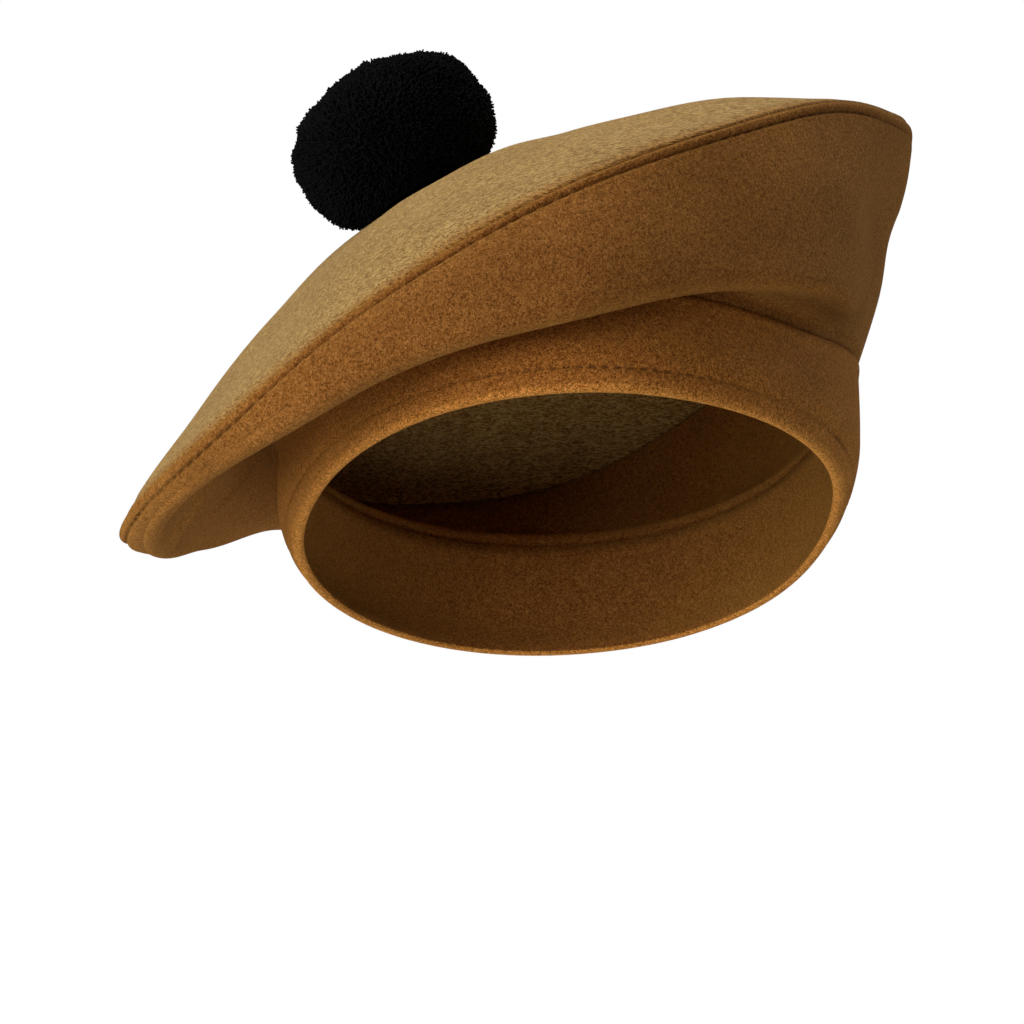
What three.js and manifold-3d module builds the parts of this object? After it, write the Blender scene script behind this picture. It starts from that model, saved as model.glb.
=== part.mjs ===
// A balmoral bonnet: a round felt crown of a flat disc and a side piece, sewn to a close head band,
// with a clipped wool pompom in the middle of the disc. It has the form that it takes when worn:
// standing up on the wearer's left (+X) and drooping over the wearer's right (-X).
//
// Millimetres, +Z up, front at -Y. The origin is the middle of the band's lower opening.
// Every piece is modelled upright over a level opening, and the whole bonnet is then tipped back
// and to one side, as it sits on a head.

import * as THREE from "three";
import { mergeVertices } from "three/addons/utils/BufferGeometryUtils.js";
import Module from "manifold-3d";

const wasm = await Module();
wasm.setup();

// ---------------------------------------------------------------- driving dimensions

const TIP_BACK = 21;            // degrees that the front of the opening is lifted
const TIP_SIDE = 3.6;           // degrees that the +X side of the opening is lifted

const FELT = 2.0;               // one layer of felt
const BAND_WALL = 3.2;          // the band is felt turned up double
const SEWN_GAP = 0.3;           // clearance between pieces that are sewn together

const BAND_HALF_WIDTH = 83.7;   // outside of the band, left to right
const BAND_HALF_DEPTH = 108.0;  // outside of the band, front to back
const HEM_TUCK = 5;             // how far the band's lower edge draws in
const HEM_TUCK_HEIGHT = 14;     // height over which it draws in
const FRONT_LEAN = 5;           // how far the band's top leans in at front and back
const SIDE_LEAN = 2.5;          // how far the band's top leans towards +X

const BUTTON = { x: -36, y: 0, z: 111.5 };   // middle of the disc, where the pompom is sewn on
const BUTTON_SLOPE = { x: 0.44, y: 0.27 };   // how steeply the disc climbs there towards +X and +Y
const POMPOM_SLOPE = { x: 0.54, y: 0.27 };   // slope of the ground that the pompom stands square to

const POMPOM_HALF_LENGTH = 32.6;
const POMPOM_HALF_HEIGHT = 25.0;
const POMPOM_SEAT = 17;         // height of the pompom's centre above the disc

// Sections round the bonnet, at evenly spaced azimuths measured from +X towards the back (+Y).
//   rimRise, bandRise    the band's lower and upper edges above the level opening
//   foldReach, foldRise  middle of the round on which the side piece turns from underside to face
//   foldRound            radius of that round
//   seamReach, seamRise  seam between the side piece and the disc
//   seamFall             how steeply the disc falls as it comes to the seam
const COLUMNS = [
  "azimuth", "rimRise", "bandRise", "foldReach", "foldRise", "foldRound",
  "seamReach", "seamRise", "seamFall",
];
const ROWS = [
  [    0,   5.5,    45,  94.5,    98,     9, 107.5,   117,   0.3],
  [ 22.5,   3.5,    41,    94,    86,     8, 108.5,   113,   0.4],
  [   45,     1,    36,   100,    62,     6,   115,   103,   0.5],
  [ 67.5,     0,    34,   113,    46,     6,   125,    84,   0.7],
  [   90,     0,    34,   121,    37,     6,   132,    67,   0.9],
  [112.5,     0,    34,   122,    36,     6, 132.5,    60,  0.85],
  [  135,     0,    34, 118.5,    46,     6,   129,    56,   0.6],
  [157.5,     0,    34,   116,    26,     6, 127.5,    33,   0.9],
  [  180,     0,    34,   112,     8,     6, 127.5,     9,   1.5],
  [202.5,     0,    34,   115,   0.5,     6, 127.5,   0.5,   1.6],
  [  225,   1.8,    34, 119.5,     2,     5,   127,     6,   1.4],
  [247.5,     3,    34, 121.5,    10,   4.5,   125,    27,   1.2],
  [  270,   2.8,    34, 119.5,    19,     4, 122.5,  50.5,  0.85],
  [292.5,   2.4,    31, 111.5,    33,     4,   118,    72,  0.65],
  [  315,     3,    31, 103.3,    42,   3.8,   112,    93,   0.5],
  [337.5,   4.2,    38,  88.5,    54,     5,   108, 104.5,   0.4],
];
const SECTIONS = ROWS.map((row) => Object.fromEntries(COLUMNS.map((name, i) => [name, row[i]])));

const ROUND_STEPS = 60;         // steps round every piece
const TOP_STEPS = 12;           // steps from the middle of the disc to its seam

// ---------------------------------------------------------------- section values at any azimuth

const radians = THREE.MathUtils.degToRad;

// Smooth closed interpolation between the evenly spaced sections (Catmull-Rom).
function section(azimuth) {
  const count = SECTIONS.length;
  const place = (azimuth / (2 * Math.PI)) * count;
  const base = Math.floor(place);
  const t = place - base;
  const rows = [-1, 0, 1, 2].map((step) => SECTIONS[(base + step + count) % count]);
  const value = {};
  for (const name of Object.keys(SECTIONS[0])) {
    const [a, b, c, d] = rows.map((row) => row[name]);
    value[name] = b + 0.5 * t * (c - a + t * (2 * a - 5 * b + 4 * c - d + t * (3 * (b - c) + d - a)));
  }
  return value;
}

// The radius of an ellipse with these half axes at an azimuth.
function ellipseReach(halfWidth, halfDepth, azimuth) {
  return 1 / Math.hypot(Math.cos(azimuth) / halfWidth, Math.sin(azimuth) / halfDepth);
}

function polar(azimuth, reach, rise) {
  return new THREE.Vector3(reach * Math.cos(azimuth), reach * Math.sin(azimuth), rise);
}

// ---------------------------------------------------------------- closed meshes from grids

// Joins a closed grid of points into one solid: rows[i][j] goes round the bonnet with i and round
// the piece's own closed section with j.
function ringSolid(rows) {
  const around = rows.length;
  const across = rows[0].length;
  const positions = rows.flat().flatMap((point) => point.toArray());
  const faces = [];
  for (let i = 0; i < around; i += 1) {
    for (let j = 0; j < across; j += 1) {
      const a = i * across + j;
      const b = ((i + 1) % around) * across + j;
      const c = ((i + 1) % around) * across + ((j + 1) % across);
      const d = i * across + ((j + 1) % across);
      faces.push(a, b, c, a, c, d);
    }
  }
  return indexed(positions, faces);
}

// Joins the outer and inner faces of a domed disc into one solid. Row i of each holds the points of
// one spoke, from the first ring to the edge, and both faces close on a point in the middle.
function domeSolid(outer, inner, outerMiddle, innerMiddle) {
  const around = outer.length;
  const rings = outer[0].length;
  const positions = [...outer.flat(), ...inner.flat(), outerMiddle, innerMiddle]
    .flatMap((point) => point.toArray());
  const top = (i, j) => (i % around) * rings + j;
  const under = (i, j) => around * rings + top(i, j);
  const middleTop = 2 * around * rings;
  const middleUnder = middleTop + 1;
  const faces = [];
  const quad = (a, b, c, d) => faces.push(a, b, c, a, c, d);
  for (let i = 0; i < around; i += 1) {
    faces.push(middleTop, top(i, 0), top(i + 1, 0));
    faces.push(middleUnder, under(i + 1, 0), under(i, 0));
    for (let j = 0; j + 1 < rings; j += 1) {
      quad(top(i, j), top(i, j + 1), top(i + 1, j + 1), top(i + 1, j));
      quad(under(i, j), under(i + 1, j), under(i + 1, j + 1), under(i, j + 1));
    }
    const edge = rings - 1;
    quad(top(i, edge), under(i, edge), under(i + 1, edge), top(i + 1, edge));
  }
  return indexed(positions, faces);
}

function indexed(positions, faces) {
  const geometry = new THREE.BufferGeometry();
  geometry.setAttribute("position", new THREE.Float32BufferAttribute(positions, 3));
  geometry.setIndex(faces);
  return geometry;
}

function toManifold(geometry) {
  const bare = geometry.clone();
  bare.deleteAttribute("normal");
  bare.deleteAttribute("uv");
  const merged = mergeVertices(bare, 1e-4);
  const vertProperties = new Float32Array(merged.attributes.position.array);
  const triVerts = new Uint32Array(merged.index.array);
  return new wasm.Manifold(new wasm.Mesh({ numProp: 3, vertProperties, triVerts }));
}

function fromManifold(solid) {
  const mesh = solid.getMesh();
  return indexed(Array.from(mesh.vertProperties), Array.from(mesh.triVerts));
}

function steps(count) {
  return Array.from({ length: count }, (_, index) => index);
}

function everyAzimuth(make) {
  return steps(ROUND_STEPS).map((index) => make((index / ROUND_STEPS) * 2 * Math.PI));
}

// ---------------------------------------------------------------- head band

const BAND_LEVELS = [0, 0.05, 0.15, 0.3, 0.5, 0.75, 1];

// Reach of the band's outer face at a share of its height: the hem draws in at the bottom, and the
// front and back lean in towards the top as a head does.
function bandReach(azimuth, rimRise, bandRise, level) {
  const height = level * (bandRise - rimRise);
  const tuck = HEM_TUCK * Math.max(0, 1 - height / HEM_TUCK_HEIGHT) ** 2;
  const lean = (FRONT_LEAN * Math.sin(azimuth) ** 2 - SIDE_LEAN * Math.cos(azimuth)) * level;
  return ellipseReach(BAND_HALF_WIDTH, BAND_HALF_DEPTH, azimuth) - tuck - lean;
}

function headBand() {
  const rows = everyAzimuth((azimuth) => {
    const { rimRise, bandRise } = section(azimuth);
    const face = (level, inset) => {
      const reach = bandReach(azimuth, rimRise, bandRise, level) - inset;
      return polar(azimuth, reach, rimRise + level * (bandRise - rimRise));
    };
    const outside = BAND_LEVELS.map((level) => face(level, 0));
    const inside = [...BAND_LEVELS].reverse().map((level) => face(level, BAND_WALL));
    return [...outside, ...inside];
  });
  return ringSolid(rows);
}

// ---------------------------------------------------------------- side of the crown

const SHOULDER_ROUND = 2.8;     // radius of the turn above the band
const SHOULDER_STAND = 2;       // straight stretch below that turn
const SHOULDER_STEPS = 4;
const UNDER_STEPS = 2;
const FOLD_STEPS = 6;
const FACE_STEPS = 4;
const UNDER_BELLY = 1.4;        // how far the underside swells out between shoulder and fold
const FACE_BELLY = 1.5;         // how far the face swells out between fold and seam

// The side piece's middle line in one section, as points of reach (x) and rise (y). It runs like a
// belt: up off the band, outwards round the shoulder, along the underside, round the fold, and up
// the face to the seam. Both straight stretches are tangents of the two rounds.
function sideLine(azimuth) {
  const row = section(azimuth);
  const start = new THREE.Vector2(
    bandReach(azimuth, row.rimRise, row.bandRise, 1) - FELT / 2,
    row.bandRise + SEWN_GAP,
  );
  const shoulder = new THREE.Vector2(start.x + SHOULDER_ROUND, start.y + SHOULDER_STAND);
  const fold = new THREE.Vector2(row.foldReach, row.foldRise);
  const seam = new THREE.Vector2(row.seamReach, row.seamRise);

  const toFold = fold.clone().sub(shoulder);
  const rounds = SHOULDER_ROUND + row.foldRound;
  const underTurn = toFold.angle() - Math.asin(Math.min(1, rounds / toFold.length()));
  const toSeam = seam.clone().sub(fold);
  const faceTurn = toSeam.angle() + Math.asin(Math.min(1, row.foldRound / toSeam.length()));

  const underHeading = wrap(underTurn);
  const faceHeading = wrap(faceTurn);
  const round = (centre, radius, from, to, count) => steps(count + 1).map((step) => {
    const angle = from + ((to - from) * step) / count;
    return new THREE.Vector2(Math.cos(angle), Math.sin(angle)).multiplyScalar(radius).add(centre);
  });
  const quarter = Math.PI / 2;
  const overShoulder = round(shoulder, SHOULDER_ROUND, Math.PI, underHeading + quarter, SHOULDER_STEPS);
  const roundFold = round(fold, row.foldRound, underHeading - quarter, faceHeading - quarter, FOLD_STEPS);
  const under = between(overShoulder.at(-1), roundFold[0], UNDER_STEPS, UNDER_BELLY);
  const face = between(roundFold.at(-1), seam, FACE_STEPS, FACE_BELLY);
  return [start, ...overShoulder, ...under, ...roundFold, ...face, seam];
}

// An angle brought into -180 to 180 degrees.
function wrap(angle) {
  return Math.atan2(Math.sin(angle), Math.cos(angle));
}

// Points between two ends, swelling to the right of the way by `belly` in the middle.
function between(from, to, count, belly) {
  const along = to.clone().sub(from);
  const right = new THREE.Vector2(along.y, -along.x).normalize();
  return steps(count).slice(1).map((step) => {
    const share = step / count;
    return from.clone().addScaledVector(along, share)
      .addScaledVector(right, belly * Math.sin(Math.PI * share));
  });
}

// The seam as a point of the outer faces, with the headings in which the two faces come to it.
function seamAt(azimuth) {
  const line = sideLine(azimuth);
  const last = line.at(-1).clone().sub(line.at(-2)).normalize();
  const sideHeading = polar(azimuth, last.x, last.y);
  const row = section(azimuth);
  const point = polar(azimuth, row.seamReach, row.seamRise);
  const spoke = new THREE.Vector3(point.x - BUTTON.x, point.y - BUTTON.y, 0).normalize();
  const topHeading = spoke.clone().setZ(-row.seamFall).normalize();
  return { point, sideHeading, topHeading };
}

const NARROWEST_SEAM = radians(35);          // keeps the mitre between the two walls short

// The outer and inner corner of one wall where it is mitred against the other at the seam.
function seamCorners(azimuth, heading, otherHeading) {
  const { point } = seamAt(azimuth);
  const inward = heading.clone().add(otherHeading).negate().normalize();
  const half = Math.max(NARROWEST_SEAM, Math.PI - inward.angleTo(heading));
  const clear = otherHeading.clone().sub(heading).normalize().multiplyScalar(SEWN_GAP / 2);
  const outer = point.clone().add(clear);
  const inner = outer.clone().addScaledVector(inward, FELT / Math.sin(half));
  return { outer, inner };
}

function crownSide() {
  const rows = everyAzimuth((azimuth) => {
    const line = sideLine(azimuth);
    const { sideHeading, topHeading } = seamAt(azimuth);
    const corners = seamCorners(azimuth, sideHeading, topHeading);
    const wall = (index, offset) => {
      const before = line[Math.max(0, index - 1)];
      const after = line[Math.min(line.length - 1, index + 1)];
      const along = after.clone().sub(before).normalize();
      const outward = new THREE.Vector2(along.y, -along.x).multiplyScalar(offset);
      const spot = line[index].clone().add(outward);
      return polar(azimuth, spot.x, spot.y);
    };
    const body = steps(line.length - 1);
    const outside = body.map((index) => wall(index, FELT / 2));
    const inside = body.reverse().map((index) => wall(index, -FELT / 2));
    return [...outside, corners.outer, corners.inner, ...inside];
  });
  return ringSolid(rows);
}

// ---------------------------------------------------------------- top of the crown

const PEAK_SLOPE = 0.29;        // slope that the disc gains on every side of its middle
const PEAK_ROUND = 14;          // radius within which it gains it

// A point of the disc's outer face, on the spoke from the pompom to the seam at an azimuth. Along a
// spoke the height is the button's own slant, less a blunt cone round it, plus a cubic that brings
// the disc to the seam at the seam's height and fall.
function topPoint(azimuth, share) {
  const row = section(azimuth);
  const seam = polar(azimuth, row.seamReach, row.seamRise);
  const length = Math.hypot(seam.x - BUTTON.x, seam.y - BUTTON.y);
  const slant = (BUTTON_SLOPE.x * (seam.x - BUTTON.x) + BUTTON_SLOPE.y * (seam.y - BUTTON.y)) / length;
  const cone = (reach) => PEAK_SLOPE * (Math.hypot(reach, PEAK_ROUND) - PEAK_ROUND);
  const coneFall = PEAK_SLOPE * length / Math.hypot(length, PEAK_ROUND);
  const missing = seam.z - (BUTTON.z + slant * length - cone(length));
  const missingSlope = length * (coneFall - row.seamFall - slant);
  const square = 3 * missing - missingSlope;
  const cube = missingSlope - 2 * missing;
  const reach = share * length;
  return new THREE.Vector3(
    BUTTON.x + (seam.x - BUTTON.x) * share,
    BUTTON.y + (seam.y - BUTTON.y) * share,
    BUTTON.z + slant * reach - cone(reach) + share ** 2 * (square + cube * share),
  );
}

// The disc's outward normal, from its slopes along and across the spoke.
function topNormal(azimuth, share) {
  const small = 1e-3;
  const along = topPoint(azimuth, share + small).sub(topPoint(azimuth, share - small));
  const across = topPoint(azimuth + small, share).sub(topPoint(azimuth - small, share));
  return along.cross(across).normalize();
}

const BUTTON_POINT = new THREE.Vector3(BUTTON.x, BUTTON.y, BUTTON.z);
const BUTTON_NORMAL = new THREE.Vector3(-BUTTON_SLOPE.x, -BUTTON_SLOPE.y, 1).normalize();
const POMPOM_AXIS = new THREE.Vector3(-POMPOM_SLOPE.x, -POMPOM_SLOPE.y, 1).normalize();

// The disc's face raised by `lift` along its normals, as spokes of points.
function topFace(lift) {
  return everyAzimuth((azimuth) => steps(TOP_STEPS).slice(1).map((step) => {
    const share = step / TOP_STEPS;
    return topPoint(azimuth, share).addScaledVector(topNormal(azimuth, share), lift);
  }));
}

function crownTop() {
  const edge = everyAzimuth((azimuth) => {
    const { sideHeading, topHeading } = seamAt(azimuth);
    return seamCorners(azimuth, topHeading, sideHeading);
  });
  const outer = topFace(0).map((spoke, index) => [...spoke, edge[index].outer]);
  const inner = topFace(-FELT).map((spoke, index) => [...spoke, edge[index].inner]);
  const innerMiddle = BUTTON_POINT.clone().addScaledVector(BUTTON_NORMAL, -FELT);
  return domeSolid(outer, inner, BUTTON_POINT, innerMiddle);
}

// ---------------------------------------------------------------- pompom

const LOCKS = 66;
const LOCK_SIZE = 9;            // radius of a lock's round head
const LOCK_STAND = 1.4;         // how far a head stands out of the core
const CORE_ROUND = 24;
const CORE_RISE = 14;
const SEAT_DEPTH = 40;          // depth of the tool that shapes the pompom's seat

// The pompom: a core and locks spread evenly over it on a spiral, with its underside hollowed to
// the shape of the disc that it sits on.
function pompom() {
  const size = new THREE.Vector3(POMPOM_HALF_LENGTH, POMPOM_HALF_LENGTH, POMPOM_HALF_HEIGHT);
  const coreSize = size.clone().subScalar(LOCK_STAND);
  const core = new THREE.SphereGeometry(1, CORE_ROUND, CORE_RISE).rotateX(Math.PI / 2);
  let solid = toManifold(core.scale(coreSize.x, coreSize.y, coreSize.z));
  const goldenTurn = Math.PI * (3 - Math.sqrt(5));
  for (const index of steps(LOCKS)) {
    const height = 1 - (2 * (index + 0.5)) / LOCKS;
    const round = Math.sqrt(1 - height ** 2);
    const way = polar(index * goldenTurn, round, height);
    const surface = way.clone().multiply(coreSize);
    const normal = way.clone().divide(coreSize).normalize();
    const lock = new THREE.IcosahedronGeometry(LOCK_SIZE, 0).rotateZ(index);
    const centre = surface.addScaledVector(normal, LOCK_STAND - LOCK_SIZE);
    lock.translate(centre.x, centre.y, centre.z);
    solid = solid.add(toManifold(lock));
  }
  const geometry = fromManifold(solid);
  const upright = new THREE.Vector3(0, 0, 1);
  geometry.applyQuaternion(new THREE.Quaternion().setFromUnitVectors(upright, POMPOM_AXIS));
  const middle = BUTTON_POINT.clone().addScaledVector(POMPOM_AXIS, POMPOM_SEAT);
  geometry.translate(middle.x, middle.y, middle.z);
  return fromManifold(toManifold(geometry).subtract(toManifold(seatTool())));
}

// Everything under the disc's outer face, a sewing gap above it included.
function seatTool() {
  const face = topFace(SEWN_GAP).map((spoke) => spoke.slice(0, TOP_STEPS / 2));
  const deep = face.map((spoke) => spoke.map((point) => point.clone().setZ(point.z - SEAT_DEPTH)));
  const middle = BUTTON_POINT.clone().addScaledVector(BUTTON_NORMAL, SEWN_GAP);
  return domeSolid(face, deep, middle, middle.clone().setZ(middle.z - SEAT_DEPTH));
}

// ---------------------------------------------------------------- the bonnet

function piece(name, geometry, colour, roughness) {
  const material = new THREE.MeshStandardMaterial({ color: colour, roughness, metalness: 0 });
  const mesh = new THREE.Mesh(geometry, material);
  mesh.name = name;
  return mesh;
}

const bonnet = new THREE.Group();
bonnet.add(piece("head_band", headBand(), 0x7d5528, 0.95));
bonnet.add(piece("crown_side", crownSide(), 0x86582a, 0.95));
bonnet.add(piece("crown_top", crownTop(), 0xa8854f, 0.95));
bonnet.add(piece("pompom", pompom(), 0x0c0b0d, 1.0));

// Tipped back first, then to the side.
bonnet.rotation.order = "YXZ";
bonnet.rotation.x = -radians(TIP_BACK);
bonnet.rotation.y = -radians(TIP_SIDE);

export default bonnet;
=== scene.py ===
"""A balmoral bonnet of brushed wool felt with a clipped wool pompom, over its packed model."""

import math

import bpy
import numpy as np
from bpy.props import FloatProperty, FloatVectorProperty, IntProperty, PointerProperty
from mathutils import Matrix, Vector


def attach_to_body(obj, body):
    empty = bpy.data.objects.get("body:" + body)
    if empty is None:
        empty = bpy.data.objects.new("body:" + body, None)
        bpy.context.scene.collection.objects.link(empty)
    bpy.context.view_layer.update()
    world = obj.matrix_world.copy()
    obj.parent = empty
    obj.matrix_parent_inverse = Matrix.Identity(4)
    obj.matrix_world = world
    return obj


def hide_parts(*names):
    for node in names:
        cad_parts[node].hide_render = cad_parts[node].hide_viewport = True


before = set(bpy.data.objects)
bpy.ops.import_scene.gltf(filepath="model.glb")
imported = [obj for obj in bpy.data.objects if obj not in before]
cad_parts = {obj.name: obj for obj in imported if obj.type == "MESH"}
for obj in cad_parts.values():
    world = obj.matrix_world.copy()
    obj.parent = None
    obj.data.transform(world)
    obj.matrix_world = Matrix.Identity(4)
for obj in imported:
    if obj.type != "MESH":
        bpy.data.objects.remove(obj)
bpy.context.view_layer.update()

bl_info = {
    "name": "Balmoral bonnet",
    "version": (1, 0, 0),
    "blender": (4, 5, 0),
    "location": "3D Viewport > Sidebar > Bonnet",
    "description": "Builds a worn balmoral bonnet: felt crown, head band, stitching and pompom",
    "category": "Object",
}

TURN = 2 * math.pi
MM = 0.001

# ---- sizes of the bonnet, in mm

TIP_BACK = 21            # degrees that the front of the opening is lifted
TIP_SIDE = 3.6           # degrees that the +X side of the opening is lifted
FELT = 2.0               # one layer of felt
BAND_WALL = 3.2          # the band is felt turned up double
BAND_HALF_WIDTH = 83.7
BAND_HALF_DEPTH = 108.0
HEM_TUCK = 5             # how far the band's lower edge draws in, and over which height
HEM_TUCK_HEIGHT = 14
FRONT_LEAN = 5           # how far the band's top leans in at front and back, and towards +X
SIDE_LEAN = 2.5
BUTTON = np.array([-36.0, 0.0, 111.5])    # middle of the disc, under the pompom
BUTTON_SLOPE = np.array([0.44, 0.27])     # how steeply the disc climbs there
POMPOM_SLOPE = np.array([0.54, 0.27])     # slope of the ground that the pompom stands square to
POMPOM_HALF_LENGTH = 32.6
POMPOM_HALF_HEIGHT = 25.0
POMPOM_SEAT = 17         # height of its middle over the button
POMPOM_CLEAR = 0.3       # gap between the wool and the disc
TRIM = 1.5               # how far the clipped ends stay inside the solid's round locks
SHOULDER_ROUND = 2.8     # the turn of the side piece above the band
SHOULDER_STAND = 2
UNDER_BELLY = 1.4        # swell of the side piece's underside and of its face
FACE_BELLY = 1.5
PEAK_SLOPE = 0.29        # the disc's blunt cone round the button
PEAK_ROUND = 14
RUBBED_AT = -4           # azimuth in degrees of the high side, where wear has rounded the seam
RUBBED_HALF = 48
SEAM_EDGE = 7.0          # how far from the seam that rounding starts, and how deep it goes
SEAM_ROUND = 0.9
WAIST = 2.6              # how far the high side draws in below the seam
SIDE_DENTS = (60, 0.9)   # size and height of slow dents: of the side, the disc, the band, and the
DISC_SWELLS = (75, 0.8)  # pompom's large and small lumps
BAND_DENTS = (45, 0.45)
LUMPS = ((22, 0.7), (8, 0.35))

# Sections round the bonnet, evenly spaced from +X towards the back. They follow the solids, with
# a sharper lip on the low side. The side piece folds over a round between the band and the seam,
# and seam_fall is how steeply the disc comes down to the seam.
COLUMNS = ("rim_rise", "band_rise", "fold_reach", "fold_rise", "fold_round",
           "seam_reach", "seam_rise", "seam_fall")
ROWS = np.array([
    [5.5, 45, 94.5, 98, 9, 108.4, 118.4, 0.3],
    [3.5, 41, 94, 86, 8, 108.5, 113, 0.4],
    [1, 36, 100, 62, 6, 115, 103, 0.5],
    [0, 34, 113, 46, 6, 125, 84, 0.7],
    [0, 34, 121, 37, 6, 132, 67, 0.9],
    [0, 34, 122, 36, 6, 132.5, 60, 0.85],
    [0, 34, 118.5, 46, 6, 129, 56, 0.6],
    [0, 34, 116, 26, 6, 127.5, 33, 0.9],
    [0, 34, 117, 7.5, 5, 127.5, 9, 1.5],
    [0, 34, 121.3, -2.2, 2.6, 127.5, 0.5, 1.6],
    [1.8, 34, 121.2, 0.4, 2.8, 127, 6, 1.4],
    [3, 34, 121.5, 9.5, 4, 125, 27, 1.2],
    [2.8, 34, 119.5, 19, 4, 122.5, 50.5, 0.85],
    [2.4, 31, 111.5, 33, 4, 118, 72, 0.65],
    [3, 31, 103.3, 42, 3.8, 112, 93, 0.5],
    [4.2, 38, 88, 54, 5, 108.8, 106, 0.4],
])

# Dents of the disc: x, y and radius in mm, and height.
DISC_DENTS = ((24, -58, 34, -1.9), (-14, -50, 22, 1.9))

# Folds of the side piece, by azimuth in degrees and by station, 0 where the underside starts and 1
# at its lip: height in mm, azimuth at station 0, its drift with the station, half width, middle
# station and half length.
FOLDS = (
    (1.9, 219.25, -35, 4.0, 0.75, 0.38),     # soft ridges in the droop
    (1.1, 176.3, 0, 3.4, 0.48, 0.34),
    (0.5, 214, -14, 4.0, 0.45, 0.5),
    (-2.4, 222, 0, 34, 0.84, 0.2),           # tuck behind the droop's lip
    (-2.8, 316, 0, 28, 0.5, 0.6),            # hollow where the crown starts to stand up
    (0.7, 302, 0, 26, 1.45, 0.8),            # lip beside that hollow
)

# Hollows that little light gets into: tone, then azimuth to half length as for a fold.
HOLLOWS = (
    ((0.62, 0.58, 0.55), 321, 0, 28, 0.5, 0.75),
    ((0.6, 0.56, 0.52), 226, 0, 40, 0.78, 0.34),
)
PAINTED_CREASE_SHADE = (0.26, 0.20, 0.18)          # painted shade: what felt is multiplied by deep in a seam or a stitch
PAINTED_EDGE_SHADE = (0.88, 0.70, 0.46)            # painted shade: the disc's rolled edge, its painted sheen taken off, as dark as the side
PAINTED_BAND_LIGHT = np.array([1.42, 1.38, 1.3])   # painted light: the band is made paler, for light thrown up onto it from below
PAINTED_RIM_HIGHLIGHT = np.array([1.5, 1.65, 1.75])    # painted highlight: its turned edge is paler still, where it catches the light

# Steps round a seam are about half a millimetre each. Plain felt has half as many, hidden felt a
# quarter.
AROUND = 1600
SEAM_ZONE = 8.8          # how far a seam's own relief reaches into the felt beside it
SIDE_STEPS = (8, 19, 12, 11, 26)    # across the shoulder, underside, fold, face and seam zone
SIDE_STEPS_HIDDEN = (4, 7, 5, 3, 5)
DISC_STEPS = (34, 18)    # along a spoke and across the seam zone
DISC_STEPS_HIDDEN = (11, 4)
DISC_COARSE_ROWS = 12    # rows next to the button that need few steps round
BAND_STEPS = (20, 15, 9)     # up the hem, the face and the top of the band
BAND_INSIDE_STEPS = 10
HEM_TURN_STEPS = 6
SEED = 7

# Studio lamps: place in metres, share of the key light's power, and diameter in metres.
LAMPS = {
    "left_softbox": ((-1.7, -0.7, 0.3), 1.15, 0.9),
    "front_softbox": ((-0.95, -1.6, 0.25), 0.75, 0.9),
    "top_softbox": ((0.1, 0.3, 1.9), 1.36, 1.2),
    "right_softbox": ((1.5, 1.05, 0.9), 0.6, 0.9),
}
LAMPS_AIM = (0, 0, 0.05)
EYE = (-0.0164, -1.2, 0.00656)      # the camera's place, level and looking along +Y
FLOOR_DROP, FLOOR_RADIUS = 0.45, 2.0
FLOOR_FADE = (0.6, 1.9)  # where the floor starts to fade, and where it is gone
NO_TRIANGLES = np.zeros((0, 3), int)


# ---- settings a user would change

def linear(code):
    """An sRGB hex colour as linear RGBA: each channel's sRGB curve undone."""
    channels = np.array([int(code[i:i + 2], 16) for i in (1, 3, 5)]) / 255
    low, high = channels / 12.92, ((channels + 0.055) / 1.055) ** 2.4
    return (*np.where(channels <= 0.04045, low, high).tolist(), 1.0)


def colour(name, code, description):
    return FloatVectorProperty(name=name, description=description, subtype="COLOR", size=4,
                               min=0, max=1, default=linear(code))


def length(name, value, description):
    return FloatProperty(name=name, description=description, default=value * MM, min=0,
                         precision=5, subtype="DISTANCE", unit="LENGTH")


class BonnetSewing(bpy.types.PropertyGroup):
    """Sizes of seams and stitches."""
    welt_height: length("Welt height", 0.6, "How far the topstitched seam edge swells out")
    welt_width: length("Welt width", 3.7, "From the seam to the topstitching, over the welt")
    groove_depth: length("Seam depth", 1.2, "How far both edges roll into the seam")
    stitch_pitch: length("Stitch pitch", 4.6, "From one topstitch to the next")
    hem_pitch: length("Hem stitch pitch", 3.4, "From one hem stitch to the next")
    hem_height: length("Hem height", 4.7, "From the band's lower edge to its stitching")
    thread: length("Thread", 0.45, "Thickness of the sewing thread")


class BonnetFelt(bpy.types.PropertyGroup):
    """Colours of the felt and its thread."""
    light: colour("Nap tips", "#C68644", "Colour of the standing tips of the nap")
    body: colour("Felt", "#A26325", "Mean colour of the felt")
    deep: colour("Deep nap", "#6A3A13", "Colour between the tufts of the nap")
    # The disc's colours are paler than the side's: painted sheen of the felt on top, where the
    # lamps above light it
    disc_light: colour("Disc's nap tips", "#CDAA68", "Colour of the flat brushed nap on the disc")
    disc_body: colour("Disc's felt", "#AE8445", "Mean colour of the disc")
    disc_deep: colour("Disc's deep nap", "#7E5828", "Colour between the tufts on the disc")
    thread: colour("Thread", "#7A4C24", "Colour of the sewing thread")


class BonnetPompom(bpy.types.PropertyGroup):
    """Size and colour of the pompom's pile."""
    tufts: IntProperty(name="Tufts", description="Clipped wool ends on the pompom",
                       default=16000, min=100, max=16600)
    pile: length("Pile", 3.6, "Length of the wool that shows at each end")
    tuft: length("Tuft", 0.75, "Thickness of one wool end")
    wool: colour("Wool", "#0B0B0C", "Colour of the pompom")


class BonnetStage(bpy.types.PropertyGroup):
    """Camera and light."""
    lens: FloatProperty(name="Lens", description="Focal length", default=147.95, min=10,
                        subtype="DISTANCE_CAMERA", unit="CAMERA")
    key: FloatProperty(name="Key light", description="Power that each softbox has its share of",
                       default=15.5, min=0, subtype="POWER", unit="POWER")
    fill: FloatProperty(name="Fill", description="Brightness of the room round the bonnet",
                        default=0.06, min=0)


# ---- section values at any azimuth

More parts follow.
